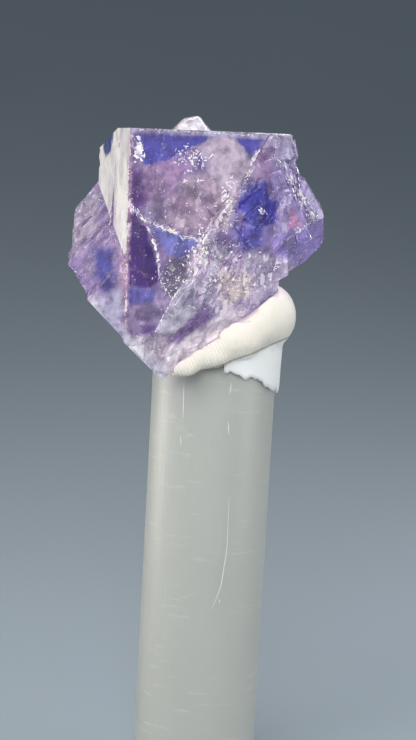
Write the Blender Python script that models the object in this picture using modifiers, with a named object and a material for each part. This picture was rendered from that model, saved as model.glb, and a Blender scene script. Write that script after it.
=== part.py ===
"""Fluorite thumbnail specimen, pressed into mounting putty on the cut end of a plastic rod.

Run with: blender --background --python part.py
+Z runs up along the rod, the origin is the centre of the rod's flat foot, and -Y is the front.
The points and sizes below are written in millimetres, and mm() turns them into metres.
"""

import math
import random

import bmesh
import bpy
from mathutils import Matrix, Vector, noise


def mm(*values):
    """Millimetres to metres: one number, or a point."""
    scaled = [0.001 * v for v in values]
    return scaled[0] if len(scaled) == 1 else Vector(scaled)


# Rod
ROD_RADIUS = mm(5.5)
ROD_LENGTH = mm(40.0)
ROD_RIM_BEVEL = mm(0.3)
ROD_SIDES = 72

# Clearances between pieces that touch
REST_GAP = mm(0.3)
PUTTY_GAP = mm(0.15)

# Crystal: a cube corner, turned to show its left face narrowly, and leaning a little
CUBE_WIDTH = mm(14.1)
CUBE_DEPTH = mm(13.7)
CUBE_HEIGHT = mm(24.0)
CUBE_TURN = math.radians(14.5)
CUBE_LEAN = math.radians(1.2)
CUBE_CORNER = mm(-8.0, -9.0, 58.75)
CRYSTAL_SHIFT = mm(0.0, -1.3, 0.02)


def inset(planes, depth):
    """The same planes, each moved inwards by a depth in millimetres."""
    moved = {}
    for name, (point, facing) in planes.items():
        moved[name] = (tuple(Vector(point) - depth * Vector(facing).normalized()), facing)
    return moved


# Every break is a flat plane: a point on it in millimetres, and the way it faces.
LOW_LEFT = {"low_left": ((-5.13, -7.6, 38.55), (-0.71, 0.0, -0.70))}
BACK_FACES = {
    "back": ((0.0, 8.6, 48.0), (-0.16, 0.97, 0.18)),
    "back_roof": ((0.0, 6.8, 58.2), (0.10, 0.62, 0.78)),
    "back_left": ((-11.0, 7.4, 50.0), (-0.72, 0.66, -0.20)),
    "back_right": ((6.6, 5.4, 51.0), (0.72, 0.66, 0.18)),
}
CORE_BREAKS = {
    "front_right": ((-1.2, -7.24, 49.8), (0.56, -0.858, -0.171)),
    "shin": ((-5.13, -8.26, 42.02), (0.54, -0.80, -0.25)),
    "toe": ((-7.48, -8.87, 41.3), (0.30, -0.90, -0.30)),
    "under_right": ((-4.0, -6.4, 38.1), (0.415, 0.473, -0.776)),
    "far_corner": ((-9.5, -3.2, 58.6), (-0.367, 0.104, 0.925)),
    **LOW_LEFT,
}
LEFT_SHARD_BREAKS = {
    "front": ((-11.36, 4.42, 53.9), (-0.62, -0.46, 0.65)),
    "shoulder": ((-12.08, 3.4, 52.96), (-0.80, -0.08, 0.60)),
    "side": ((-13.3, 3.0, 49.5), (-1.0, -0.05, 0.03)),
    "roof": ((-9.0, 4.0, 57.4), (0.0, 0.20, 0.98)),
    "under": ((-9.0, 2.0, 43.2), (-0.30, 0.50, -0.81)),
    "cube_front": ((-8.0, -8.80, 50.0), (0.25, -0.968, 0.0)),
    "inner": ((-6.0, 0.0, 48.0), (1.0, 0.0, 0.0)),
    **inset(LOW_LEFT, 0.18),
    **BACK_FACES,
}
RIGHT_SHARD_BREAKS = {
    "front": ((4.0, -5.65, 54.9), (0.20, -0.96, -0.174)),
    "streaked": ((4.45, -5.86, 56.57), (0.859, -0.432, 0.281)),
    "slope_top": ((5.45, -2.0, 56.3), (0.63, -0.06, 0.77)),
    "slope": ((7.9, -1.0, 53.7), (0.83, -0.06, 0.55)),
    "side": ((8.85, -1.0, 51.0), (0.99, -0.05, 0.12)),
    "low_front": ((4.25, -4.56, 49.0), (0.739, -0.429, -0.519)),
    "low_right": ((8.78, 2.0, 48.9), (0.56, -0.05, -0.82)),
    "under_right": ((6.4, 1.0, 46.6), (0.66, 0.20, -0.72)),
    "roof": ((5.0, 0.0, 58.2), (0.05, 0.0, 1.0)),
    "inner": ((4.4, 0.0, 48.0), (-1.0, 0.0, 0.0)),
    **inset(BACK_FACES, 0.25),
}
CORNER_BREAKS = {
    "top": ((4.0, -4.0, 58.7), (0.02, 0.0, 1.0)),
    "front": ((3.9, -6.15, 57.8), (0.28, -0.96, -0.05)),
    "right_high": ((5.6, -3.0, 58.3), (0.96, -0.10, 0.26)),
    "right_low": ((5.9, -3.0, 57.25), (0.84, -0.10, -0.53)),
    "bottom": ((4.6, -4.0, 56.3), (0.10, -0.30, -0.95)),
    "left": ((3.9, -4.0, 57.5), (-0.99, -0.10, 0.02)),
    "back": ((4.0, 1.5, 57.5), (0.0, 1.0, 0.1)),
}
REAR_BREAKS = {
    "front": ((0.0, -4.0, 43.4), (0.05, -0.80, -0.60)),
    "under": ((-2.0, -2.0, 42.6), (0.50, 0.25, -0.83)),
    "front_wall": ((0.0, -3.0, 50.0), (0.0, -1.0, 0.0)),
    "top": ((0.0, 0.0, 57.6), (0.05, 0.10, 1.0)),
    "right": ((5.0, 0.0, 49.0), (0.97, 0.22, 0.10)),
    "left": ((-9.4, 0.0, 49.0), (-0.98, 0.12, 0.06)),
    **inset(LOW_LEFT, 0.5),
    **inset(BACK_FACES, 0.6),
}
TIP_BREAKS = {
    "left": ((-4.75, 2.0, 59.0), (-0.78, -0.10, 0.62)),
    "top": ((-3.2, 2.0, 60.2), (-0.18, -0.12, 0.97)),
    "right": ((-1.5, 2.0, 59.1), (0.76, -0.05, 0.65)),
    "front": ((-3.0, 0.5, 59.0), (0.05, -0.80, 0.60)),
    "back": ((-3.0, 3.6, 59.0), (0.10, 0.80, 0.60)),
    "root": ((-3.0, 2.0, 57.6), (0.0, 0.0, -1.0)),
}
TOOTH_BREAKS = {
    "top": ((-13.5, 3.0, 47.6), (-0.85, -0.10, 0.50)),
    "side": ((-13.65, 3.0, 47.0), (-0.97, -0.20, -0.10)),
    "front": ((-13.0, 1.3, 47.0), (-0.45, -0.88, 0.15)),
    "back": ((-13.0, 4.6, 47.0), (-0.30, 0.95, 0.05)),
    "inner": ((-11.0, 3.0, 47.0), (1.0, 0.0, 0.2)),
    **inset(LOW_LEFT, 0.05),
}
BLOCK_SIZE = mm(60.0)

# Fields of thin slabs: joined to a break they are ledges, cut from it they are steps. All in mm.
ZIGZAG = (0.42, 0.09, 0.86)
DOWNHILL = (0.42, 0.24, -0.87)
LEDGES = {
    "front": {
        "plane": CORE_BREAKS["front_right"], "along": ZIGZAG, "skew": 0.45, "count": 9,
        "thickness": 1.6, "length": (1.6, 4.2), "width": (0.9, 2.4), "proud": (0.02, 0.24), "tip": (-10, 10),
        "reach_along": (-5.5, 4.5), "reach_across": (-0.3, 4.4),
    },
    "streaks": {
        "plane": RIGHT_SHARD_BREAKS["streaked"], "along": DOWNHILL, "skew": 0.14, "count": 12,
        "thickness": 1.2, "length": (2.2, 5.5), "width": (0.35, 0.8), "proud": (0.04, 0.22),
        "tip": (-14, 14), "reach_along": (0.6, 5.2), "reach_across": (-2.6, 0.3),
    },
}
CUTS = {
    "front": {
        "plane": CORE_BREAKS["front_right"], "along": ZIGZAG, "skew": 0.45, "count": 9,
        "thickness": 1.0, "length": (1.6, 4.2), "width": (0.5, 1.4), "proud": (0.42, 0.68), "tip": (-18, 18),
        "reach_along": (-5.0, 6.5), "reach_across": (0.0, 4.6),
    },
}
CHIPPED_EDGES = {
    "front_left": ((-8.0, -9.0, 58.3), (-7.6, -9.0, 42.0), 14, (0.14, 0.32)),
    "top": ((-7.0, -8.8, 58.75), (3.0, -6.7, 58.75), 9, (0.12, 0.3)),
    "left_far": ((-11.43, 4.26, 57.2), (-11.43, 4.26, 54.4), 4, (0.3, 0.6)),
}

# Putty: pinches of it under the crystal, and the smear down the rod. Centres and radii in mm.
PUTTY_LUMPS = {
    "lobe": ((4.3, -1.8, 43.2), (2.6, 3.4, 2.9)),
    "middle": ((0.6, 0.2, 42.6), (5.0, 5.2, 3.4)),
    "tail_high": ((1.5, -4.8, 41.2), (2.6, 1.9, 1.9)),
    "tail": ((-0.8, -6.2, 39.9), (2.2, 1.3, 1.2)),
    "tail_end": ((-2.8, -7.2, 38.9), (1.6, 0.9, 0.85)),
    "back": ((-1.5, 4.2, 43.6), (4.2, 2.4, 2.6)),
}
PUTTY_VOXEL = mm(0.45)
PUTTY_DECIMATE = 0.45
SMEAR_START = math.radians(8)
SMEAR_LOWEST = math.radians(80)
SMEAR_END = math.radians(128)
SMEAR_COLUMNS = 44
SMEAR_ROWS = 4
SMEAR_TOP = mm(41.0)
SMEAR_FOOT_LEFT = mm(39.0)
SMEAR_FOOT_RIGHT = mm(36.4)
SMEAR_RAGGED = mm(0.45)
SMEAR_SWELL = mm(0.12)
SMEAR_THICKNESS = mm(0.24)

# Relief of the broken faces
FACET_GRID = mm(1.7)
DIVIDE_ROUNDS = 4
LARGE_FACE = 4e-6
SLIVER = mm(0.003)
GRAIN_STRETCH = 2.6
RELIEF_DEPTH = mm(0.42)
RELIEF_LEVELS = 4
RELIEF_SCALE = mm(1.9)
GRAIN_ALONG = Vector(ZIGZAG).normalized()
GRAIN_ACROSS = Vector((0.9, 0.1, -0.4)).normalized()
GRAIN_DEEP = Vector((0.0, 1.0, 0.0))


def clear_scene():
    for old in list(bpy.data.objects):
        bpy.data.objects.remove(old, do_unlink=True)


def new_collection(name, hidden=False):
    made = bpy.data.collections.new(name)
    made.hide_render = hidden
    bpy.context.scene.collection.children.link(made)
    return made


def add_object(name, mesh, collection, helper=False):
    made = bpy.data.objects.new(name, mesh)
    collection.objects.link(made)
    if helper:
        made.hide_render = True
        made.display_type = "WIRE"
    return made


def cube_frame():
    """The turned and leaning frame of the cube, with its origin at the top front-left corner."""
    turn = Matrix.Rotation(CUBE_TURN, 4, "Z")
    lean = Matrix.Rotation(-CUBE_LEAN, 4, "Y")
    return Matrix.Translation(CUBE_CORNER) @ turn @ lean


def cube_matrix(grow=0.0):
    half = Vector((CUBE_WIDTH / 2, CUBE_DEPTH / 2, -CUBE_HEIGHT / 2))
    sides = [side + 2 * grow for side in (CUBE_WIDTH, CUBE_DEPTH, CUBE_HEIGHT)]
    return cube_frame() @ Matrix.Translation(half) @ Matrix.Diagonal((*sides, 1.0))


def block_matrix(grow=0.0):
    return Matrix.Translation(mm(-2, 0, 50)) @ Matrix.Scale(BLOCK_SIZE, 4)


def cleave(bm, point, facing):
    """Cuts away what lies outside a plane and closes the cut with one flat face."""
    cut = bmesh.ops.bisect_plane(
        bm,
        geom=bm.verts[:] + bm.edges[:] + bm.faces[:],
        plane_co=point,
        plane_no=facing,
        clear_outer=True,
    )
    rim = [g for g in cut["geom_cut"] if isinstance(g, bmesh.types.BMEdge)]
    bmesh.ops.holes_fill(bm, edges=rim)


def cleaved_block(name, breaks, collection, start=block_matrix, grow=0.0):
    """A block, or the cube, cut by every plane in breaks; grow moves each plane outwards."""
    bm = bmesh.new()
    bmesh.ops.create_cube(bm, size=1.0, matrix=start(grow))
    for point, facing in breaks.values():
        outward = Vector(facing).normalized()
        cleave(bm, mm(*point) + grow * outward, outward)
    bmesh.ops.transform(bm, matrix=Matrix.Translation(CRYSTAL_SHIFT), verts=bm.verts)
    bmesh.ops.recalc_face_normals(bm, faces=bm.faces[:])
    mesh = bpy.data.meshes.new(name)
    bm.to_mesh(mesh)
    bm.free()
    return add_object(name, mesh, collection, helper=True)


def joined(name, base, others, collection, operation="UNION"):
    """The mesh of base after a Boolean with each of the others, as a new object."""
    for other in others:
        step = base.modifiers.new(other.name, "BOOLEAN")
        step.operation = operation
        step.solver = "EXACT"
        step.object = other
    bpy.context.view_layer.update()
    evaluated = base.evaluated_get(bpy.context.evaluated_depsgraph_get())
    mesh = bpy.data.meshes.new_from_object(evaluated)
    base.modifiers.clear()
    mesh.name = name
    return add_object(name, mesh, collection, helper=True)


def slab_matrix(centre, facing, along, size, roll=0.0):
    """A unit cube's matrix for a slab that lies on a plane, its long side along a direction in it."""
    z_axis = Vector(facing).normalized()
    x_axis = Vector(along)
    x_axis = (x_axis - x_axis.dot(z_axis) * z_axis).normalized()
    turn = Matrix((x_axis, z_axis.cross(x_axis), z_axis)).transposed().to_4x4()
    rolled = turn @ Matrix.Rotation(roll, 4, "X")
    return Matrix.Translation(centre) @ rolled @ Matrix.Diagonal((*size, 1.0))


def slabs(name, field, collection, seed):
    """Slabs scattered over a field of one break, each tipped a little about its long side."""
    chance = random.Random(seed)
    point, facing = field["plane"]
    outward = Vector(facing).normalized()
    across = Vector(field["along"]).cross(outward).normalized()
    along = outward.cross(across)
    made = []
    for number in range(field["count"]):
        bm = bmesh.new()
        length = chance.uniform(*field["length"])
        width = chance.uniform(*field["width"])
        place = mm(*point) + CRYSTAL_SHIFT
        place += mm(chance.uniform(*field["reach_along"])) * along
        place += mm(chance.uniform(*field["reach_across"])) * across
        place += mm(chance.uniform(*field["proud"]) - field["thickness"] / 2) * outward
        tip = math.radians(chance.uniform(*field["tip"]))
        size = (mm(length), mm(width), mm(field["thickness"]))
        skew = along + chance.uniform(-field["skew"], field["skew"]) * across
        shard = bmesh.ops.create_cube(bm, size=1.0)["verts"]
        ends = {True: chance.uniform(0.15, 0.9), False: chance.uniform(0.15, 0.9)}
        for vert in shard:
            vert.co.y = vert.co.y * ends[vert.co.x > 0] + 0.2 * vert.co.z
        bmesh.ops.transform(bm, matrix=slab_matrix(place, outward, skew, size, tip), verts=shard)
        made.append(finish_helper(bm, f"{name}_{number}", collection))
    return made


def finish_helper(bm, name, collection):
    """Writes a closed bmesh as a triangulated helper object."""
    bmesh.ops.triangulate(bm, faces=bm.faces[:])
    bmesh.ops.recalc_face_normals(bm, faces=bm.faces[:])
    mesh = bpy.data.meshes.new(name)
    bm.to_mesh(mesh)
    bm.free()
    return add_object(name, mesh, collection, helper=True)


def edge_chips(name, start, end, count, size, collection, seed):
    """Small cubes turned at random along an edge, to nick it."""
    chance = random.Random(seed)
    made = []
    for number in range(count):
        bm = bmesh.new()
        place = mm(*start).lerp(mm(*end), chance.random()) + CRYSTAL_SHIFT
        tipped = Matrix.Rotation(chance.uniform(0.4, 1.2), 4, "X")
        turn = tipped @ Matrix.Rotation(chance.uniform(0, 1.5), 4, "Z")
        side = mm(chance.uniform(*size))
        stretch = Matrix.Diagonal((side, side, side * chance.uniform(1.0, 2.0), 1.0))
        bmesh.ops.create_cube(bm, size=1.0, matrix=Matrix.Translation(place) @ turn @ stretch)
        made.append(finish_helper(bm, f"{name}_{number}", collection))
    return made


def on_cube_face(face, cube_normals):
    return any(abs(face.normal.dot(normal)) > 0.9995 for normal in cube_normals)


def add_relief(mesh):
    """Divides the large broken faces and steps their inner points inwards, like stepped cleavage."""
    bm = bmesh.new()
    bm.from_mesh(mesh)
    bmesh.ops.triangulate(bm, faces=bm.faces[:])
    bmesh.ops.remove_doubles(bm, verts=bm.verts[:], dist=SLIVER)
    bmesh.ops.dissolve_degenerate(bm, dist=SLIVER / 4, edges=bm.edges[:])
    axes = cube_frame().to_3x3()
    normals = [axes.col[i].normalized() for i in range(3)]
    rough = bm.faces.layers.int.new("rough")
    for face in bm.faces:
        face[rough] = face.calc_area() > LARGE_FACE and not on_cube_face(face, normals)
    for _ in range(DIVIDE_ROUNDS):
        bmesh.ops.triangulate(bm, faces=[f for f in bm.faces if len(f.verts) > 3])
        long_edges = [
            e for e in bm.edges if e.calc_length() > FACET_GRID and any(f[rough] for f in e.link_faces)
        ]
        bmesh.ops.subdivide_edges(bm, edges=long_edges, cuts=1)
    bmesh.ops.triangulate(bm, faces=[f for f in bm.faces if len(f.verts) > 3])
    bm.normal_update()
    moves = {}
    for vert in bm.verts:
        if not all(f[rough] for f in vert.link_faces):
            continue
        along = vert.co.dot(GRAIN_ALONG) / GRAIN_STRETCH
        grain = Vector((vert.co.dot(GRAIN_ACROSS), along, vert.co.dot(GRAIN_DEEP)))
        height = 0.5 + 0.5 * noise.noise(grain / RELIEF_SCALE)
        moves[vert] = -vert.normal * RELIEF_DEPTH * math.floor(height * RELIEF_LEVELS) / RELIEF_LEVELS
    for vert, move in moves.items():
        vert.co += move
    bm.to_mesh(mesh)
    bm.free()


def make_crystal(collection, helpers):
    core = cleaved_block("core", CORE_BREAKS, helpers, cube_matrix)
    others = [
        cleaved_block("rear", REAR_BREAKS, helpers),
        cleaved_block("left_shard", LEFT_SHARD_BREAKS, helpers),
        cleaved_block("right_shard", RIGHT_SHARD_BREAKS, helpers),
        cleaved_block("corner_block", CORNER_BREAKS, helpers),
        cleaved_block("tip", TIP_BREAKS, helpers),
        cleaved_block("tooth", TOOTH_BREAKS, helpers),
    ]
    body = joined("body", core, others, helpers)
    ledges = []
    for seed, (name, field) in enumerate(LEDGES.items(), 3):
        ledges += slabs(f"ledge_{name}", field, helpers, seed)
    stepped = joined("stepped", body, ledges, helpers)
    cuts = []
    for seed, (name, field) in enumerate(CUTS.items(), 31):
        cuts += slabs(f"step_{name}", field, helpers, seed)
    for seed, (name, (start, end, count, size)) in enumerate(CHIPPED_EDGES.items(), 51):
        cuts += edge_chips(f"chip_{name}", start, end, count, size, helpers, seed)
    cut = joined("cut", stepped, cuts, helpers, "DIFFERENCE")
    keep_largest(cut.data)
    add_relief(cut.data)
    crystal = add_object("crystal", cut.data.copy(), collection)
    crystal.data.name = "crystal"
    return crystal


def make_rod(collection):
    bm = bmesh.new()
    place = Matrix.Translation((0, 0, ROD_LENGTH / 2))
    bmesh.ops.create_cone(
        bm,
        cap_ends=True,
        segments=ROD_SIDES,
        radius1=ROD_RADIUS,
        radius2=ROD_RADIUS,
        depth=ROD_LENGTH,
        matrix=place,
    )
    rim = [e for e in bm.edges if all(v.co.z > 0.9 * ROD_LENGTH for v in e.verts)]
    bmesh.ops.bevel(bm, geom=rim, offset=ROD_RIM_BEVEL, segments=2, profile=0.5, affect="EDGES")
    mesh = bpy.data.meshes.new("rod")
    bm.to_mesh(mesh)
    bm.free()
    mesh.shade_smooth()
    mesh.set_sharp_from_angle(angle=math.radians(40))
    return add_object("rod", mesh, collection)


def make_lumps(collection):
    """The pinches of putty, melted into one smooth lump."""
    bm = bmesh.new()
    for centre, radii in PUTTY_LUMPS.values():
        place = Matrix.Translation(mm(*centre)) @ Matrix.Diagonal((*mm(*radii), 1.0))
        bmesh.ops.create_uvsphere(bm, u_segments=24, v_segments=16, radius=1.0, matrix=place)
    mesh = bpy.data.meshes.new("lumps")
    bm.to_mesh(mesh)
    bm.free()
    lumps = add_object("lumps", mesh, collection, helper=True)
    melt = lumps.modifiers.new("melt", "REMESH")
    melt.mode = "VOXEL"
    melt.voxel_size = PUTTY_VOXEL
    soften = lumps.modifiers.new("soften", "SMOOTH")
    soften.factor = 0.5
    soften.iterations = 6
    thin = lumps.modifiers.new("thin", "DECIMATE")
    thin.ratio = PUTTY_DECIMATE
    return joined("melted", lumps, [], collection)


def smear_foot(turn):
    """Height of the smear's ragged lower edge at an angle round the rod."""
    slope = SMEAR_FOOT_LEFT + (SMEAR_FOOT_RIGHT - SMEAR_FOOT_LEFT) * min(1.0, turn / SMEAR_LOWEST)
    ragged = noise.noise(Vector((turn * 9.0, 0.3, 0.0)))
    ragged += 0.6 * noise.noise(Vector((turn * 26.0, 4.1, 0.0)))
    rise = max(0.0, (turn - SMEAR_LOWEST) / (SMEAR_END - SMEAR_LOWEST))
    return slope + SMEAR_RAGGED * ragged + rise * (SMEAR_TOP - SMEAR_FOOT_RIGHT - SMEAR_RAGGED * 2.5)


def make_smear(collection):
    """Putty wiped down the side of the rod: an open sheet round it, given its thickness by Solidify."""
    bm = bmesh.new()
    rows = []
    for i in range(SMEAR_COLUMNS + 1):
        turn = SMEAR_START + (SMEAR_END - SMEAR_START) * i / SMEAR_COLUMNS
        foot = smear_foot(turn)
        column = []
        for j in range(SMEAR_ROWS + 1):
            height = foot + (SMEAR_TOP - foot) * j / SMEAR_ROWS
            swell = SMEAR_SWELL * (j / SMEAR_ROWS) ** 2
            radius = ROD_RADIUS + PUTTY_GAP + swell
            column.append(bm.verts.new((radius * math.sin(turn), -radius * math.cos(turn), height)))
        rows.append(column)
    for left, right in zip(rows, rows[1:]):
        for j in range(SMEAR_ROWS):
            bm.faces.new((left[j], right[j], right[j + 1], left[j + 1]))
    mesh = bpy.data.meshes.new("smear")
    bm.to_mesh(mesh)
    bm.free()
    smear = add_object("smear_sheet", mesh, collection, helper=True)
    thick = smear.modifiers.new("thickness", "SOLIDIFY")
    thick.thickness = SMEAR_THICKNESS
    thick.offset = 1.0
    return joined("smear", smear, [], collection)


def make_putty(collection, helpers):
    lumps = make_lumps(helpers)
    grown = [
        cleaved_block("core_room", CORE_BREAKS, helpers, cube_matrix, grow=REST_GAP),
        cleaved_block("rear_room", REAR_BREAKS, helpers, grow=REST_GAP),
        cleaved_block("left_room", LEFT_SHARD_BREAKS, helpers, grow=REST_GAP),
        cleaved_block("right_room", RIGHT_SHARD_BREAKS, helpers, grow=REST_GAP),
    ]
    rod_room = make_rod(helpers)
    rod_room.name = "rod_room"
    rod_room.hide_render = True
    rod_room.display_type = "WIRE"
    wider = 1 + PUTTY_GAP / ROD_RADIUS
    rod_room.data.transform(Matrix.Diagonal((wider, wider, 1 + PUTTY_GAP / ROD_LENGTH, 1.0)))
    pressed = joined("pressed", lumps, [*grown, rod_room], helpers, "DIFFERENCE")
    whole = joined("whole", pressed, [make_smear(helpers)], helpers)
    keep_largest(whole.data)
    whole.data.shade_smooth()
    whole.data.set_sharp_from_angle(angle=math.radians(50))
    putty = add_object("putty", whole.data.copy(), collection)
    putty.data.name = "putty"
    return putty


def keep_largest(mesh):
    """Drops every loose crumb and sealed pocket, and keeps the largest closed surface."""
    bm = bmesh.new()
    bm.from_mesh(mesh)
    left = set(bm.verts)
    bodies = []
    while left:
        body = {left.pop()}
        front = list(body)
        while front:
            for edge in front.pop().link_edges:
                for vert in edge.verts:
                    if vert in left:
                        left.discard(vert)
                        body.add(vert)
                        front.append(vert)
        bodies.append(body)
    largest = max(bodies, key=len)
    bmesh.ops.delete(bm, geom=[v for v in bm.verts if v not in largest], context="VERTS")
    bm.to_mesh(mesh)
    bm.free()


def give_material(obj, name, colour, roughness, transmission=0.0, ior=1.5):
    made = bpy.data.materials.new(name)
    made.use_nodes = True
    shader = made.node_tree.nodes["Principled BSDF"]
    shader.inputs["Base Color"].default_value = (*colour, 1.0)
    shader.inputs["Roughness"].default_value = roughness
    shader.inputs["Metallic"].default_value = 0.0
    shader.inputs["Transmission Weight"].default_value = transmission
    shader.inputs["IOR"].default_value = ior
    obj.data.materials.clear()
    obj.data.materials.append(made)


def main():
    clear_scene()
    specimen = new_collection("fluorite_specimen")
    helpers = new_collection("cutters", hidden=True)
    crystal = make_crystal(specimen, helpers)
    putty = make_putty(specimen, helpers)
    rod = make_rod(specimen)
    give_material(crystal, "fluorite", (0.42, 0.34, 0.62), 0.12, transmission=0.8, ior=1.434)
    give_material(putty, "putty", (0.84, 0.80, 0.72), 0.6)
    give_material(rod, "frosted_plastic", (0.62, 0.63, 0.60), 0.45, transmission=0.3, ior=1.49)


main()
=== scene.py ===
import math
import random

import bmesh
import bpy
import numpy as np
from mathutils import Matrix, Vector, noise
from mathutils.bvhtree import BVHTree


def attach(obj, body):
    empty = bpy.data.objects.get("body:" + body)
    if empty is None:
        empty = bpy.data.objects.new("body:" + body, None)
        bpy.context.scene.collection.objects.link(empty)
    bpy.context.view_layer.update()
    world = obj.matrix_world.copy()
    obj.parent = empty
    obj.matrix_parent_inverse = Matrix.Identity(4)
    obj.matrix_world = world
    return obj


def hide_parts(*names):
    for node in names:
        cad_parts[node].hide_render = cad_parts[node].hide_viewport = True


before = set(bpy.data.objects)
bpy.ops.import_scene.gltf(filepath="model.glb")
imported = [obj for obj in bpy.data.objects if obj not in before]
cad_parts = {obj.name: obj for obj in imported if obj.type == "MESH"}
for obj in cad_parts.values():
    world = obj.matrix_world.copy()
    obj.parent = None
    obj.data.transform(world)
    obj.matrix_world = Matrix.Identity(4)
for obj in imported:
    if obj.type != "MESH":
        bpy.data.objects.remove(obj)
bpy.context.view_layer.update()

# A fluorite thumbnail in putty on a plastic rod. +Z is up and the crystal's big cube face looks to -Y.
# Places and sizes are in millimetres, and mm() makes metres of them. Colours are 0 to 255, as a paint
# chart gives them, and screen() makes linear light of them.


def mm(*values):
    scaled = [0.001 * v for v in values]
    return scaled[0] if len(scaled) == 1 else Vector(scaled)


def screen(*chart):
    return tuple(((v / 255 + 0.055) / 1.055) ** 2.4 if v > 10 else v / 3295 for v in chart)


# Shader maths
class Wire:  # one output socket, so that + - * / work on it
    def __init__(self, board, socket):
        self.board = board
        self.socket = socket

    def out(self, which):  # another output of the same node
        return Wire(self.board, self.socket.node.outputs[which])

    def channel(self, which):
        return self.board.node("ShaderNodeSeparateColor", {}, {0: self}).out(which)

    def maths(self, operation, *others):
        values = dict(enumerate((self, *others)))
        return self.board.node("ShaderNodeMath", {"operation": operation}, values)

    def swapped(self, operation, first):  # this wire comes second
        return self.board.node("ShaderNodeMath", {"operation": operation}, {0: first, 1: self})

    def __add__(self, other):
        return self.maths("ADD", other)

    __radd__ = __add__

    def __sub__(self, other):
        return self.maths("SUBTRACT", other)

    def __rsub__(self, other):
        return self.swapped("SUBTRACT", other)

    def __mul__(self, other):
        return self.maths("MULTIPLY", other)

    __rmul__ = __mul__

    def __truediv__(self, other):
        return self.maths("DIVIDE", other)

    def __rtruediv__(self, other):
        return self.swapped("DIVIDE", other)

    def step(self, low, high, toLow=0.0, toHigh=1.0):  # smooth ramp between low and high
        settings = {"interpolation_type": "SMOOTHSTEP", "clamp": True}
        values = {"Value": self, "From Min": low, "From Max": high, "To Min": toLow, "To Max": toHigh}
        return self.board.node("ShaderNodeMapRange", settings, values)


class Board:  # the node tree of one material
    def __init__(self, name):
        self.material = bpy.data.materials.new(name)
        self.material.use_nodes = True
        self.tree = self.material.node_tree
        self.tree.nodes.clear()
        self.place = self.node("ShaderNodeTexCoord").out("Object")

    def node(self, kind, settings=None, inputs=None):
        made = self.tree.nodes.new(kind)
        for key, value in (settings or {}).items():
            if key == "stops":
                self.setStops(made.color_ramp, value)
            else:
                setattr(made, key, value)
        for key, value in (inputs or {}).items():
            socket = made.inputs[key]
            if isinstance(value, Wire):
                self.tree.links.new(value.socket, socket)
            elif socket.type == "RGBA" and len(value) == 3:
                socket.default_value = (*value, 1.0)
            else:
                socket.default_value = value
        return Wire(self, made.outputs[0]) if made.outputs else None

    def setStops(self, ramp, stops):
        while len(ramp.elements) < len(stops):
            ramp.elements.new(0.5)
        for element, (position, colour) in zip(ramp.elements, stops):
            element.position = position
            element.color = (*colour, 1.0)

    def blend(self, factor, first, second, how="MIX"):  # colours
        settings = {"data_type": "RGBA", "blend_type": how}
        return self.node("ShaderNodeMix", settings, {0: factor, 6: first, 7: second}).out(2)

    def vector(self, operation, *values):
        return self.node("ShaderNodeVectorMath", {"operation": operation}, dict(enumerate(values)))

    def axis(self, which):
        return self.node("ShaderNodeSeparateXYZ", {}, {0: self.place}).out(which)

    def attribute(self, name, which):
        return self.node("ShaderNodeAttribute", {"attribute_name": name}).out(which)

    def ramp(self, factor, stops):
        return self.node("ShaderNodeValToRGB", {"stops": stops}, {"Fac": factor})

    def cloud(self, size, detail=3.0, rough=0.55, at=None, warp=0.0):  # noise
        values = {"Vector": at or self.place, "Scale": 1 / mm(size)}
        values.update({"Detail": detail, "Roughness": rough, "Distortion": warp})
        return self.node("ShaderNodeTexNoise", {}, values)

    def cells(self, size, feature="F1", at=None):
        values = {"Vector": at or self.place, "Scale": 1 / mm(size)}
        return self.node("ShaderNodeTexVoronoi", {"feature": feature}, values)

    def bump(self, height, depth, strength, under=None):
        values = {"Height": height, "Distance": mm(depth), "Strength": strength}
        if under:
            values["Normal"] = under
        return self.node("ShaderNodeBump", {}, values)

    def principled(self, **values):
        named = {key.replace("_", " "): value for key, value in values.items()}
        return self.node("ShaderNodeBsdfPrincipled", {}, named)

    def mixed(self, factor, first, second):  # shaders
        return self.node("ShaderNodeMixShader", {}, {0: factor, 1: first, 2: second})

    def finish(self, surface, volume=None):
        values = {"Surface": surface}
        if volume:
            values["Volume"] = volume
        self.node("ShaderNodeOutputMaterial", {}, values)
        return self.material


# Helpers for pieces
def newPiece(name, mesh, material, slot, *replaced):
    piece = bpy.data.objects.new(name, mesh)
    bpy.context.scene.collection.objects.link(piece)
    mesh.materials.clear()
    mesh.materials.append(material)
    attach(piece, "root")
    if replaced:
        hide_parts(*replaced)
    return piece


def weldedCopy(node):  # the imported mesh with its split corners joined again
    bm = bmesh.new()
    bm.from_mesh(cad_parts[node].data)
    bmesh.ops.remove_doubles(bm, verts=bm.verts[:], dist=1e-6)
    return bm


def refine(bm, longest, rounds):  # halve the edges that are too long
    for _ in range(rounds):
        tooLong = [e for e in bm.edges if e.calc_length() > longest]
        if not tooLong:
            break
        bmesh.ops.subdivide_edges(bm, edges=tooLong, cuts=1)
        bmesh.ops.triangulate(bm, faces=[f for f in bm.faces if len(f.verts) > 3])


def vertsAbove(bm, height):
    return [v for v in bm.verts if v.co.z > mm(height)]


def smoothOnce(bm, verts):
    bmesh.ops.smooth_vert(bm, verts=verts, factor=0.5, use_axis_x=True, use_axis_y=True, use_axis_z=True)


def meshFrom(bm, name):
    mesh = bpy.data.meshes.new(name)
    bm.to_mesh(mesh)
    bm.free()
    return mesh


# Camera
view = {
    "place": (-0.5645, -142.0494, 56.5931),
    "pitch": 7.5,
    "roll": 3.17,
    "lens": 77.84,
    "film": 36.0,  # height of the film
    "near": 5,
}


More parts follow.
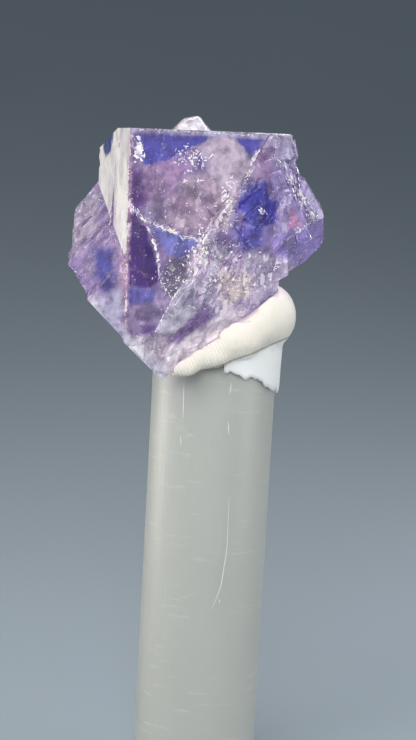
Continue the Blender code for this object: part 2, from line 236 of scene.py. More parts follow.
def cameraAxes(pitch, roll):
    away = Vector((0, math.cos(pitch), -math.sin(pitch)))
    level = Vector((1, 0, 0))
    upright = Vector((0, math.sin(pitch), math.cos(pitch)))
    right = math.cos(roll) * level + math.sin(roll) * upright
    up = math.cos(roll) * upright - math.sin(roll) * level
    return right, up, away


def makeCamera():
    data = bpy.data.cameras.new("camera")
    data.lens = view["lens"]
    data.sensor_fit = "VERTICAL"
    data.sensor_height = view["film"]
    data.clip_start = mm(view["near"])
    camera = bpy.data.objects.new("camera", data)
    right, up, away = cameraAxes(math.radians(view["pitch"]), math.radians(view["roll"]))
    turn = Matrix((right, up, -away)).transposed().to_4x4()
    camera.matrix_world = Matrix.Translation(mm(*view["place"])) @ turn
    bpy.context.scene.collection.objects.link(camera)
    bpy.context.scene.camera = camera


# Studio
lamps = {
    "keySoftbox": {"place": (-110, -150, 190), "aim": (0, 0, 50), "size": 130,
                   "watts": 0.33, "tint": (1.0, 0.98, 0.95), "spread": 180},
    "frontFill": {"place": (-20, -250, 150), "aim": (0, 0, 48), "size": 110,
                  "watts": 0.42, "tint": (0.94, 0.97, 1.0), "spread": 180},
    "topStrip": {"place": (20, 60, 200), "aim": (0, 0, 52), "size": 110,
                 "watts": 0.26, "tint": (1.0, 0.99, 0.97), "spread": 180},
    "leftBand": {"place": (-150, 30, 10), "aim": (0, 0, 14), "size": 90,
                 "watts": 0.013, "tint": (1.0, 0.95, 0.86), "spread": 40},
    "rightRim": {"place": (170, 90, 90), "aim": (4, 0, 50), "size": 90,
                 "watts": 0.1, "tint": (0.9, 0.95, 1.0), "spread": 180},
    "rightSide": {"place": (190, -60, 45), "aim": (2, 0, 42), "size": 90,
                  "watts": 0.018, "tint": (1.0, 0.98, 0.95), "spread": 70},
}
sky = {"colour": (0.50, 0.56, 0.62), "strength": 0.42}
sweep = {  # the paper under and behind the object
    "dark": (132, 142, 150),
    "pale": (138, 147, 155),
    "cloud": 90,
    "reach": 720,  # how far back the paper goes
    "curve": 640,  # radius of its bend
    "bends": 24,
    "wide": 1600,
    "roughness": 0.9,
}
lightPaths = {"clamp": 4.0, "clearBounces": 16}


def makeLamps():
    for name, lamp in lamps.items():
        data = bpy.data.lights.new(name, "AREA")
        data.shape = "SQUARE"
        data.size = mm(lamp["size"])
        data.energy = lamp["watts"]
        data.color = lamp["tint"]
        data.spread = math.radians(lamp["spread"])
        light = bpy.data.objects.new(name, data)
        light.location = mm(*lamp["place"])
        light.rotation_euler = (mm(*lamp["aim"]) - light.location).to_track_quat("-Z", "Y").to_euler()
        bpy.context.scene.collection.objects.link(light)


def makeSky():
    world = bpy.data.worlds.new("sky")
    world.use_nodes = True
    background = world.node_tree.nodes["Background"]
    background.inputs["Color"].default_value = (*sky["colour"], 1.0)
    background.inputs["Strength"].default_value = sky["strength"]
    scene = bpy.context.scene
    scene.world = world
    scene.view_settings.view_transform = "Standard"
    scene.cycles.caustics_refractive = False
    scene.cycles.caustics_reflective = False
    scene.cycles.sample_clamp_indirect = lightPaths["clamp"]
    scene.cycles.transparent_max_bounces = lightPaths["clearBounces"]


def makeBackdrop():
    reach, curve, wide = sweep["reach"], sweep["curve"], sweep["wide"]
    outline = [(-wide, 0.0), (reach - curve, 0.0)]
    for step in range(1, sweep["bends"] + 1):
        turn = 0.5 * math.pi * step / sweep["bends"]
        outline.append((reach - curve + curve * math.sin(turn), curve - curve * math.cos(turn)))
    outline.append((reach, wide))
    bm = bmesh.new()
    left, right = [[bm.verts.new(mm(x, y, z)) for y, z in outline] for x in (-wide, wide)]
    for k in range(len(outline) - 1):
        bm.faces.new((left[k], right[k], right[k + 1], left[k + 1]))
    mesh = meshFrom(bm, "backdrop")
    mesh.shade_smooth()
    board = Board("paperSweep")
    tone = board.blend(board.cloud(sweep["cloud"], 2.0), screen(*sweep["dark"]), screen(*sweep["pale"]))
    mesh.materials.append(board.finish(board.principled(Base_Color=tone, Roughness=sweep["roughness"])))
    backdrop = bpy.data.objects.new("backdrop", mesh)
    bpy.context.scene.collection.objects.link(backdrop)


# Crystal
crystalLook = {
    "edgeLength": 0.26,  # of the refined mesh
    "slack": 1.35,  # an edge may stay this many times longer
    "rounds": 7,
    "cubeTurn": 14.5,
    "flatWithin": 0.995,  # cosine between a face and a cube face that count as one
    "sharpBelow": 0.9,  # cosine between two faces that meet in a sharp edge
    "grain": (0.42, 0.09, 0.86),  # the way the cleavage steps run
    "stepDepth": 0.11,
    "stepSize": 0.95,
    "stepStretch": (2.6, 1.0, 1.4),  # along the grain, across it and into the crystal
    "sway": (0.3, 2.1),  # how far and how fast the steps wander along the grain
    "tipFrom": 58.95,
    "tipRounds": 6,
}
cubeTurn = math.radians(crystalLook["cubeTurn"])
frontFacing = Vector((math.sin(cubeTurn), -math.cos(cubeTurn), 0))
leftFacing = Vector((-math.cos(cubeTurn), -math.sin(cubeTurn), 0))


def cutSteps(bm):  # only broken faces are stepped, cube faces stay flat
    grain = Vector(crystalLook["grain"]).normalized()
    across = grain.cross(frontFacing).normalized()
    sizes = [mm(crystalLook["stepSize"] * stretch) for stretch in crystalLook["stepStretch"]]
    reach, speed = crystalLook["sway"]
    moves = {}
    for vert in bm.verts:
        facing = [f.normal for f in vert.link_faces]
        nearest = [max(n.dot(frontFacing), n.dot(leftFacing), n.z) for n in facing]
        if max(nearest) > crystalLook["flatWithin"]:
            continue
        if any(facing[0].dot(n) < crystalLook["sharpBelow"] for n in facing[1:]):
            continue
        along = vert.co.dot(grain) / sizes[0]
        side = vert.co.dot(across) / sizes[1]
        deep = vert.co.y / sizes[2]
        step = noise.cell(Vector((along + reach * math.sin(side * speed), side, deep)))
        moves[vert] = -vert.normal * mm(crystalLook["stepDepth"]) * step
    for vert, move in moves.items():
        vert.co += move


def crystalMesh():
    bm = weldedCopy("crystal")
    refine(bm, mm(crystalLook["edgeLength"]) * crystalLook["slack"], crystalLook["rounds"])
    bm.normal_update()
    cutSteps(bm)
    tip = vertsAbove(bm, crystalLook["tipFrom"])
    for _ in range(crystalLook["tipRounds"]):
        smoothOnce(bm, tip)
    return meshFrom(bm, "fluorite_crystal")


# Colour zones on the faces that look to the front: corners (x, z), later zones over earlier ones.
# milk is how cloudy the crystal is there, glitter how full of tiny cleavage flakes, which the shader
# paints as white glints.
zones = {
    "upperPink": {"tint": (162, 134, 168), "milk": 0.74, "soft": 0.4, "glitter": 0.25, "corners": [
        (-7.4, 55.6), (-4.5, 56.6), (-2.2, 57.5), (-3.0, 55.1), (-4.3, 53.2), (-7.4, 52.6)]},
    "leftPurple": {"tint": (106, 72, 136), "milk": 0.74, "soft": 0.5, "glitter": 0.35, "corners": [
        (-8.2, 55.6), (-7.0, 55.4), (-6.4, 53.0), (-7.0, 51.0), (-8.2, 50.9)]},
    "greyMauve": {"tint": (172, 150, 168), "milk": 0.74, "soft": 0.35, "glitter": 0.45, "corners": [
        (-4.3, 53.4), (-3.1, 55.1), (-1.5, 55.7), (0.5, 53.3), (-1.2, 50.1), (-3.5, 50.6), (-5.2, 51.4)]},
    "paleFan": {"tint": (188, 170, 186), "milk": 0.76, "soft": 0.2, "glitter": 0.3, "corners": [
        (-1.4, 58.5), (0.5, 58.4), (2.1, 56.9), (1.3, 54.4), (0.0, 53.8), (-1.5, 55.7), (-2.4, 57.4)]},
    "blueBand": {"tint": (88, 84, 158), "milk": 0.82, "soft": 0.12, "glitter": 0.3, "corners": [
        (-7.7, 58.4), (-1.3, 58.5), (-1.9, 57.9), (-4.5, 56.5), (-6.7, 55.6)]},
    "blueCorner": {"tint": (86, 82, 158), "milk": 0.82, "soft": 0.12, "glitter": 0.25, "corners": [
        (0.5, 58.5), (3.1, 58.6), (2.7, 57.7), (1.9, 57.0)]},
    "rightLilac": {"tint": (170, 142, 180), "milk": 0.7, "soft": 0.2, "glitter": 0.0, "corners": [
        (2.4, 57.5), (3.9, 57.2), (3.9, 54.8), (2.1, 54.7)]},
    "rightBody": {"tint": (152, 136, 182), "milk": 0.74, "soft": 0.3, "glitter": 0.5, "corners": [
        (3.8, 57.0), (5.8, 56.8), (8.6, 52.9), (9.0, 51.0), (4.1, 49.6)]},
    "cornerLilac": {"tint": (180, 170, 200), "milk": 0.66, "soft": 0.25, "glitter": 0.45, "corners": [
        (3.7, 58.9), (6.3, 58.9), (6.3, 56.3), (3.9, 56.3)]},
    "rightDeep": {"tint": (148, 130, 194), "milk": 0.82, "soft": 0.2, "glitter": 0.3, "corners": [
        (4.4, 50.1), (8.5, 52.1), (9.2, 49.8), (7.3, 47.6), (4.2, 48.4)]},
    "underRight": {"tint": (190, 178, 198), "milk": 0.72, "soft": 0.5, "glitter": 0.7, "corners": [
        (-1.8, 49.6), (3.3, 49.0), (6.2, 48.3), (5.6, 45.8), (0.2, 43.0), (-2.8, 46.3)]},
    "bluePale": {"tint": (148, 136, 186), "milk": 0.68, "soft": 0.4, "glitter": 0.0, "corners": [
        (0.6, 54.2), (2.2, 55.2), (3.9, 55.0), (4.6, 52.6), (4.0, 49.0), (0.6, 49.0)]},
    "deepBlueHigh": {"tint": (78, 76, 160), "milk": 0.82, "soft": 0.05, "glitter": 0.0, "corners": [
        (0.9, 52.9), (2.1, 54.7), (3.5, 55.0), (3.9, 53.2), (2.3, 51.8)]},
    "deepBlueLow": {"tint": (72, 70, 156), "milk": 0.82, "soft": 0.05, "glitter": 0.0, "corners": [
        (2.2, 53.7), (4.6, 53.3), (4.4, 51.5), (3.2, 51.0), (1.7, 51.5)]},
    "lowBlue": {"tint": (92, 86, 166), "milk": 0.76, "soft": 0.25, "glitter": 0.0, "corners": [
        (1.0, 51.1), (3.4, 51.2), (3.4, 49.7), (1.9, 48.9)]},
    "pinkChip": {"tint": (188, 138, 172), "milk": 0.85, "soft": 0.08, "glitter": 0.0, "corners": [
        (5.7, 53.2), (6.8, 51.4), (5.6, 51.0)]},
    "wedge": {"tint": (76, 54, 110), "milk": 0.86, "soft": 0.1, "glitter": 0.3, "corners": [
        (-8.0, 51.4), (-6.3, 50.8), (-5.5, 48.7), (-4.8, 46.4), (-6.2, 45.6), (-7.9, 46.0)]},
    "lightBlue": {"tint": (112, 112, 174), "milk": 0.82, "soft": 0.14, "glitter": 0.3, "corners": [
        (-6.1, 50.9), (-2.0, 49.8), (-3.2, 48.2), (-4.5, 48.7)]},
    "greyWindow": {"tint": (124, 112, 132), "milk": 0.62, "soft": 0.16, "glitter": 0.45, "corners": [
        (-4.4, 48.3), (-2.5, 48.3), (-2.4, 47.0), (-3.9, 44.9), (-4.9, 45.9)]},
    "blueFoot": {"tint": (104, 98, 164), "milk": 0.72, "soft": 0.25, "glitter": 0.25, "corners": [
        (-7.7, 45.8), (-5.2, 45.6), (-5.4, 44.6), (-7.6, 44.2)]},
    "smoothLilac": {"tint": (160, 142, 172), "milk": 0.74, "soft": 0.16, "glitter": 0.0, "corners": [
        (-7.6, 44.2), (-4.0, 44.8), (-5.2, 42.0), (-7.5, 41.9)]},
    "purpleSpot": {"tint": (108, 80, 134), "milk": 0.76, "soft": 0.15, "glitter": 0.0, "corners": [
        (-6.4, 42.7), (-5.0, 42.7), (-5.4, 41.9), (-6.1, 41.9)]},
    "paleShin": {"tint": (198, 190, 204), "milk": 0.76, "soft": 0.14, "glitter": 0.3, "corners": [
        (-3.9, 44.7), (-2.3, 47.1), (-1.2, 46.0), (-1.5, 43.8), (-3.7, 41.9), (-5.1, 41.9)]},
    "lowPale": {"tint": (224, 214, 218), "milk": 0.84, "soft": 0.25, "glitter": 0.2, "corners": [
        (-4.3, 40.9), (0.5, 43.6), (2.8, 44.0), (0.6, 41.6), (-2.3, 38.0), (-5.0, 37.6)]},
    "footStreak": {"tint": (134, 108, 154), "milk": 0.78, "soft": 0.14, "glitter": 0.0, "corners": [
        (-4.0, 41.3), (-1.5, 44.0), (-0.7, 43.5), (-3.0, 41.0)]},
    "pinkFoot": {"tint": (196, 180, 190), "milk": 0.78, "soft": 0.3, "glitter": 0.6, "corners": [
        (-7.6, 41.8), (-4.0, 41.6), (-4.2, 38.6), (-5.9, 38.4)]},
    "zigzagHigh": {"tint": (190, 170, 186), "milk": 0.76, "soft": 0.25, "glitter": 1.0, "corners": [
        (1.3, 54.6), (0.7, 54.8), (-0.9, 50.6), (0.4, 50.8)]},
    "zigzagLow": {"tint": (188, 172, 192), "milk": 0.76, "soft": 0.25, "glitter": 1.0, "corners": [
        (-0.2, 51.3), (-1.2, 51.2), (-2.9, 47.0), (-1.8, 46.8)]},
    "edgeMauve": {"tint": (170, 138, 160), "milk": 0.8, "soft": 0.12, "glitter": 0.8, "corners": [
        (-8.4, 58.6), (-7.72, 58.6), (-7.5, 42.0), (-8.2, 42.0)]},
    "paleRim": {"tint": (206, 203, 208), "milk": 0.84, "soft": 0.3, "glitter": 0.2, "corners": [
        (-10.9, 44.0), (-10.2, 44.8), (-4.0, 38.9), (-4.4, 37.5)]},
    "yellowGlow": {"tint": (216, 198, 190), "milk": 0.78, "soft": 0.5, "glitter": 0.95, "corners": [
        (0.1, 47.4), (2.8, 46.7), (2.5, 45.1), (0.5, 44.4), (-0.2, 46.2)]},
    "shardPale": {"tint": (164, 152, 168), "milk": 0.68, "soft": 0.8, "glitter": 0.4, "corners": [
        (-13.8, 51.6), (-11.4, 53.4), (-10.6, 50.0), (-13.8, 46.6)]},
    "shardBlue": {"tint": (84, 84, 154), "milk": 0.72, "soft": 0.35, "glitter": 0.0, "corners": [
        (-10.9, 48.6), (-9.3, 48.6), (-8.6, 46.4), (-9.3, 44.9), (-10.3, 46.4)]},
    "shardLow": {"tint": (190, 184, 204), "milk": 0.74, "soft": 0.35, "glitter": 0.3, "corners": [
        (-10.2, 44.6), (-8.1, 45.8), (-7.7, 41.4), (-8.4, 41.2)]},
}
plainZones = {
    "body": {"tint": (176, 158, 184), "milk": 0.64, "glitter": 0.36,  # what no zone covers
             "deep": (120, 102, 150), "milkBehind": 0.42},
    # the left cube face's off-white is partly its own milkiness and partly a painted sheen, the glancing
    # reflection of a bright light
    "milkyFace": {"tint": (240, 234, 228), "milk": 0.95, "glitter": 0.0},
    "notch": {"tint": (60, 74, 128), "milk": 0.8, "soft": 0.12, "corners": [
        (-11.2, 58.3), (-9.8, 58.4), (-10.0, 57.0), (-10.6, 56.2)]},
    # a painted highlight: pale along the top edge of the front faces
    "topRimHighlight": {"tint": (186, 180, 200), "milk": 0.75, "from": 58.4, "soft": 0.2},
    "tip": {"tint": (214, 207, 212), "milk": 0.72},
}
milkySheenFoot = {  # the lower edge of the milky face and its painted sheen: heights at four places across, with teeth
    "across": (-11.4, -10.3, -9.3, -8.0),
    "height": (53.6, 51.3, 49.2, 48.3),
    "teeth": 0.9,  # how far the teeth reach
    "toothGrain": (4.2, 0.3, 5.0),
    "soft": 0.12,
}
paintLook = {
    "frontFrom": ((0.1, -1, 0), 0.28),  # faces that look this way carry the zones
    "cubeWithin": (0.985, 0.9),  # cosine for the left cube face and for the front one
    "seedShift": (3.1, 1.7, 2.3),
    "zoneBends": [{"size": 1.7, "reach": 0.12, "seeds": (1, 2)},
                  {"size": 0.5, "reach": 0.15, "seeds": (3, 4)}],
    "bodySwings": [{"size": 3.4, "reach": 0.5, "seeds": (7,)},  # between its tint and its deep tone
                   {"size": 1.3, "reach": 0.35, "seeds": (8,)}],
}


class CornerPaint:  # tint, milk and glitter at every corner of the mesh's faces
    def __init__(self, tint, milk, glitter):
        self.tint = tint
        self.milk = milk
        self.glitter = glitter

    def cover(self, share, zone):
        self.tint += share[:, None] * (np.array(screen(*zone["tint"])) - self.tint)
        self.milk += share * (zone["milk"] - self.milk)
        if "glitter" in zone:
            self.glitter += share * (zone["glitter"] - self.glitter)


def insideCorners(places, zone):  # 1 inside a convex outline, 0 outside, with a soft rim
    corners = np.array(zone["corners"])
    centre = np.mean(corners, axis=0)
    nearest = np.full(len(places), np.inf)
    for k, corner in enumerate(corners):
        run = corners[(k + 1) % len(corners)] - corner
        inward = np.array([-run[1], run[0]]) / np.hypot(*run)
        if np.dot(centre - corner, inward) < 0:
            inward = -inward
        nearest = np.minimum(nearest, (places - corner) @ inward)
    share = np.clip(nearest / zone["soft"] * 0.5 + 0.5, 0, 1)
    return share * share * (3 - 2 * share)


def noiseColumns(points, bend):
    columns = []
    for seed in bend["seeds"]:
        shift = Vector([seed * s for s in paintLook["seedShift"]])
        columns.append([noise.noise(Vector(p) / bend["size"] + shift) for p in points])
    return bend["reach"] * np.array(columns).T


def meshColumns(mesh):  # points in millimetres, then the point and the facing of each face corner
    points = np.empty(len(mesh.vertices) * 3)
    mesh.vertices.foreach_get("co", points)
    corner = np.empty(len(mesh.loops), np.int32)
    mesh.loops.foreach_get("vertex_index", corner)
    normals = np.empty(len(mesh.polygons) * 3)
    mesh.polygons.foreach_get("normal", normals)
    return points.reshape(-1, 3) * 1000, corner, np.repeat(normals.reshape(-1, 3), 3, axis=0)


def milkySheenShare(points, corner):  # 1 above the toothed lower edge of the milky face with its painted sheen
    grain = milkySheenFoot["toothGrain"]
    teeth = [noise.noise(Vector((grain[0] * x, grain[1] * z, grain[2]))) for x, _, z in points]
    edge = np.interp(points[:, 0], milkySheenFoot["across"], milkySheenFoot["height"])
    above = points[:, 2] - edge - milkySheenFoot["teeth"] * np.array(teeth)
    return np.clip(above / milkySheenFoot["soft"] + 0.5, 0, 1)[corner]


def paintCrystal(mesh):
    points, corner, facing = meshColumns(mesh)
    flat = (points[:, [0, 2]] + sum(noiseColumns(points, bend) for bend in paintLook["zoneBends"]))[corner]
    swing = 0.5 + sum(noiseColumns(points, bend)[:, 0] for bend in paintLook["bodySwings"])
    swing = np.clip(swing, 0, 1)[corner]
    height = points[corner, 2]
    way, least = paintLook["frontFrom"]
    towardsFront = facing @ np.array(way) > least
    leftWithin, frontWithin = paintLook["cubeWithin"]
    onLeft = facing @ np.array(leftFacing) > leftWithin
    onFront = facing @ np.array(frontFacing) > frontWithin

    body = plainZones["body"]
    tint = np.array(screen(*body["tint"])) * (1 - swing[:, None])
    tint += np.array(screen(*body["deep"])) * swing[:, None]
    milk = np.where(towardsFront, body["milk"], body["milkBehind"])
    paint = CornerPaint(tint, milk, np.full(len(corner), body["glitter"]))
    for zone in zones.values():
        paint.cover(insideCorners(flat, zone) * towardsFront, zone)
    # painted sheen: the milky off-white covers the left face above its toothed edge
    paint.cover(onLeft * milkySheenShare(points, corner), plainZones["milkyFace"])
    paint.cover(onLeft * insideCorners(flat, plainZones["notch"]), plainZones["notch"])
    # painted highlight along the top edge of the front faces
    rim = plainZones["topRimHighlight"]
    rimHighlightShare = np.clip((height - rim["from"]) / rim["soft"], 0, 1) * onFront
    paint.cover(rimHighlightShare * (0.5 + 0.5 * swing), rim)
    paint.cover((height > crystalLook["tipFrom"]).astype(float), plainZones["tip"])

    colour = mesh.color_attributes.new("zoneTint", "FLOAT_COLOR", "CORNER")
    colour.data.foreach_set("color", np.column_stack([paint.tint, np.ones(len(corner))]).ravel())
    columns = {"milk": paint.milk, "glitter": paint.glitter, "milkyFace": onLeft}
    for name, values in columns.items():
        mesh.attributes.new(name, "FLOAT", "CORNER").data.foreach_set("value", values.astype(np.float32))


fluoriteLook = {
    "index": 1.434,  # fluorite's refractive index
    "absorb": (0.70, 0.61, 0.80),
    "density": 62.0,
    "clearTint": 0.5,
    "clearRoughness": 0.04,
    "veilRoughness": (0.15, 0.36),  # of the cloudy parts, and of the milky face
    "lampLight": (0.80, 0.76, 0.84),  # what the crystal lets through to the putty
    "cloud": 1.3,  # sizes of the patterns
    "shards": 1.3,
    "fine": 0.28,
    "lean": {"Rotation": (0.2, 0.46, 0.1), "Scale": (1.0, 0.7, 0.42)},  # how shards and chips lie
    "tremble": {"size": 10 / 9, "reach": 0.5},  # makes their rims ragged
    "grooves": {"size": 0.6, "stretch": (1.0, 1.0, 0.06), "edge": (0.48, 0.66), "cover": 0.3,
                "tint": (172, 166, 178)},
    "specks": {"size": 0.24, "edge": (0.26, 0.10), "weight": 1.1},
    "speckFields": {"size": 0.8, "edge": (0.38, 0.58)},
    "veins": {"size": 0.9, "edge": (0.04, 0.010), "inCloud": (0.56, 0.74), "weight": 0.8},
    "chips": {"size": 0.32, "edge": (0.80, 0.90), "weight": 0.6},
    # the white of the painted glints
    "paintedSparkle": {"edge": (0.10, 0.80), "tint": (240, 230, 228)},
    "broken": {"cloud": 0.9, "shards": 0.35, "chips": 0.22, "calm": 0.35, "whole": 1.5},
    "shades": [(0.24, (0.74, 0.70, 0.82)), (0.47, (1.05, 1.05, 1.07)), (0.68, (1.48, 1.42, 1.40))],
    "milkSwing": (0.28, 0.68, 0.50, 1.08),  # thin and thick cloud, and the share of milk there
    "milkySheenExtra": 0.35,
    "relief": {"depth": 0.10, "fine": 0.5, "chips": 0.3, "strength": 0.35, "grooves": 0.5},
}


def fluoritePaintedSparkle(board, cloud, chips, glitter):  # painted glints: white specks, healed cracks and chips
    look = fluoriteLook
    fields = board.cloud(look["speckFields"]["size"], 2.0).step(*look["speckFields"]["edge"])
    specks = board.cells(look["specks"]["size"]).step(*look["specks"]["edge"]) * fields
    crackle = board.cells(look["veins"]["size"], "DISTANCE_TO_EDGE")
    veins = crackle.step(*look["veins"]["edge"]) * cloud.step(*look["veins"]["inCloud"])
    shine = specks * look["specks"]["weight"] + veins * look["veins"]["weight"]
    shine = shine + chips.step(*look["chips"]["edge"]) * look["chips"]["weight"]
    return (shine * glitter).step(*look["paintedSparkle"]["edge"])


def fluoriteMaterial():
    look = fluoriteLook
    board = Board("fluorite")
    tint = board.attribute("zoneTint", "Color")
    milk = board.attribute("milk", "Fac")
    glitter = board.attribute("glitter", "Fac")
    milkyFace = board.attribute("milkyFace", "Fac")

    lean = board.node("ShaderNodeMapping", {}, {"Vector": board.place, **look["lean"]})
    tremble = board.cloud(look["tremble"]["size"], 2.0, 0.5).out("Color")
    reach = mm(look["tremble"]["reach"])
    ragged = board.vector("ADD", lean, board.vector("MULTIPLY", tremble, (reach, reach, reach)))
    cloud = board.cloud(look["cloud"], 5.0, 0.62)
    shards = board.cells(look["shards"], at=ragged).out("Color").channel("Red")
    chips = board.cells(look["chips"]["size"], at=ragged).out("Color").channel("Red")
    fine = board.cloud(look["fine"], 3.0, 0.6)
    tall = board.vector("MULTIPLY", board.place, look["grooves"]["stretch"])
    grooves = board.cloud(look["grooves"]["size"], 4.0, 0.6, at=tall)
    paintedSparkle = fluoritePaintedSparkle(board, cloud, chips, glitter)

    parts = look["broken"]
    broken = cloud * parts["cloud"] + shards * parts["shards"]
    broken = (broken + chips * parts["chips"] * (glitter + parts["calm"])) / parts["whole"]
    shade = board.blend(1.0, tint, board.ramp(broken, look["shades"]), "MULTIPLY")
    groove = milkyFace * grooves.step(*look["grooves"]["edge"]) * look["grooves"]["cover"]
    shade = board.blend(groove, shade, screen(*look["grooves"]["tint"]))
    # painted glints: white laid over the colour where the sparkle mask is
    shade = board.blend(paintedSparkle, shade, screen(*look["paintedSparkle"]["tint"]))
    # extra milk on the milky face lets its painted sheen hide the clear glass
    cloudy = milk * cloud.step(*look["milkSwing"]) + milkyFace * look["milkySheenExtra"] + paintedSparkle

    deep = look["relief"]
    height = fine * deep["fine"] + chips * glitter * deep["chips"]
    relief = board.bump(height, deep["depth"], deep["strength"])
    relief = board.bump(grooves * milkyFace, deep["depth"], deep["grooves"], under=relief)
    optics = {"IOR": look["index"], "Normal": relief}
    clear = board.blend(look["clearTint"], (1.0, 1.0, 1.0), tint)
    glass = board.principled(
        Base_Color=clear, Roughness=look["clearRoughness"], Transmission_Weight=1.0, **optics)
    dull = milkyFace.step(0.0, 1.0, *look["veilRoughness"])
    veil = board.principled(Base_Color=shade, Roughness=dull, **optics)
    body = board.mixed(cloudy.step(0.0, 1.0), glass, veil)
    lampRay = board.node("ShaderNodeLightPath").out("Is Shadow Ray")
    through = board.node("ShaderNodeBsdfTransparent", {}, {"Color": look["lampLight"]})
    absorption = {"Color": look["absorb"], "Density": look["density"]}
    volume = board.node("ShaderNodeVolumeAbsorption", {}, absorption)
    return board.finish(board.mixed(lampRay, body, through), volume)


def makeCrystal():
    mesh = crystalMesh()
    paintCrystal(mesh)
    print("crystal triangles", len(mesh.polygons))
    return newPiece("fluorite_crystal", mesh, fluoriteMaterial(), "fluorite", "crystal")


# Flakes: small cleavage flakes and healed cracks lying in the surface, coloured near white as painted
# glints
crackLines = {
    "wedgeCrack": {"flakes": 46, "spread": 0.03, "size": (0.35, 0.9), "route": [
        (-6.1, 50.7), (-5.5, 49.3), (-5.2, 48.0), (-5.0, 46.9)]},
    "wedgeFoot": {"flakes": 40, "spread": 0.1, "size": (0.12, 0.4), "route": [
        (-5.0, 46.6), (-4.6, 45.8), (-4.0, 45.0)]},
    "fanCrack": {"flakes": 150, "spread": 0.1, "size": (0.2, 0.7), "route": [
        (-7.6, 52.4), (-6.4, 51.3), (-4.6, 50.7), (-3.2, 50.1), (-1.9, 50.0)]},
    "rightCrack": {"flakes": 50, "spread": 0.05, "size": (0.25, 0.7), "route": [
        (2.7, 57.6), (2.1, 56.4), (1.6, 54.8)]},
    "zigzagEdge": {"flakes": 120, "spread": 0.16, "size": (0.18, 0.6), "route": [
        (1.5, 54.4), (0.6, 53.0), (0.1, 51.9), (-1.2, 50.1), (-2.2, 47.4)]},
    "footEdge": {"flakes": 70, "spread": 0.03, "size": (0.2, 0.6), "route": [
        (-2.3, 47.2), (-3.9, 44.8), (-5.2, 41.9)]},
    "frontEdge": {"flakes": 170, "spread": 0.06, "size": (0.1, 0.4), "route": [
        (-8.0, 58.2), (-7.9, 50.0), (-7.6, 42.4)]},
    "topEdge": {"flakes": 90, "spread": 0.06, "size": (0.1, 0.4), "route": [
        (-7.4, 58.72), (2.4, 58.72)]},
    "streakRidge": {"flakes": 170, "spread": 0.26, "size": (0.2, 0.8), "route": [
        (4.5, 56.8), (6.2, 54.6), (7.7, 52.0)]},
    "lowRidge": {"flakes": 100, "spread": 0.1, "size": (0.15, 0.6), "route": [
        (4.4, 49.4), (6.9, 51.2), (8.3, 52.1)]},
    "dashes": {"flakes": 26, "spread": 0.07, "size": (0.2, 0.6), "route": [
        (-3.8, 54.5), (-1.7, 54.9)]},
}
flakeFields = {
    "upperStar": {"centre": (-2.9, 56.7), "spread": (0.8, 0.45), "flakes": 120, "size": (0.12, 0.5)},
    "whiteChip": {"centre": (-7.2, 56.9), "spread": (0.14, 0.42), "flakes": 46, "size": (0.45, 1.0)},
    "zigzagHigh": {"centre": (0.35, 52.7), "spread": (0.45, 0.95), "flakes": 150, "size": (0.15, 0.55)},
    "zigzagLow": {"centre": (-1.5, 49.2), "spread": (0.5, 1.0), "flakes": 190, "size": (0.15, 0.6)},
    "sideFlash": {"centre": (0.2, 54.9), "spread": (0.2, 0.6), "flakes": 30, "size": (0.15, 0.4)},
    "midScatter": {"centre": (-2.6, 53.0), "spread": (2.0, 1.4), "flakes": 80, "size": (0.08, 0.28)},
    "glitterField": {"centre": (-0.6, 47.0), "spread": (1.2, 1.2), "flakes": 330, "size": (0.12, 0.5)},
    "yellowGlitter": {"centre": (1.6, 46.3), "spread": (1.0, 0.8), "flakes": 140, "size": (0.1, 0.4)},
    "windowScatter": {"centre": (-4.0, 46.2), "spread": (0.7, 0.9), "flakes": 90, "size": (0.08, 0.26)},
    "deepFlash": {"centre": (3.25, 52.5), "spread": (0.12, 0.26), "flakes": 16, "size": (0.3, 0.7)},
    "rightScatter": {"centre": (6.6, 51.6), "spread": (1.2, 1.4), "flakes": 90, "size": (0.08, 0.3)},
    "footScatter": {"centre": (-5.6, 40.4), "spread": (0.9, 0.8), "flakes": 130, "size": (0.06, 0.24)},
    "shardScatter": {"centre": (-11.4, 50.4), "spread": (0.8, 1.2), "flakes": 80, "size": (0.08, 0.26)},
    "milkyGlints": {"centre": (-9.2, 55.0), "spread": (0.16, 2.0), "flakes": 14, "size": (0.7, 1.6)},
}
flakeLook = {
    "seed": 11,
    "proud": 0.012,  # how far a flake stands off the face
    "tilt": 0.12,
    "corners": (3, 4, 4, 5),
    "needle": (0.12, 0.36),  # width over length, along a crack
    "chip": (0.25, 0.7),  # the same in a field
    "alongCrack": 0.75,  # share of a crack's flakes that lie along it
    "wander": 0.25,
    "runStep": 0.02,  # share of a crack over which its run is taken
    "rayFrom": -40,
    "faceOn": 0.1,  # no flakes on faces turned further away than this
    "toneSize": 0.6,
    # near white: the flakes' colour is partly pale crack and partly painted glint
    "glintTones": {0.36: (184, 172, 204), 0.47: (232, 224, 232), 0.56: (248, 244, 242), 0.70: (242, 222, 208)},
    "roughness": 0.18,
    "coat": 0.5,
}


def routePoint(route, share):
    lengths = [math.dist(a, b) for a, b in zip(route, route[1:])]
    left = share * sum(lengths)
    for start, end, length in zip(route, route[1:], lengths):
        if left <= length:
            break
        left -= length
    t = min(1.0, left / length)
    return start[0] + t * (end[0] - start[0]), start[1] + t * (end[1] - start[1])


def routeRun(route, share):  # the way the route goes at that share of it
    x0, z0 = routePoint(route, max(0, share - flakeLook["runStep"]))
    x1, z1 = routePoint(route, min(1, share + flakeLook["runStep"]))
    return Vector((x1 - x0, 0, z1 - z0)).normalized()


def gaussVector(chance, spread):
    return Vector([chance.gauss(0, spread) for _ in range(3)])


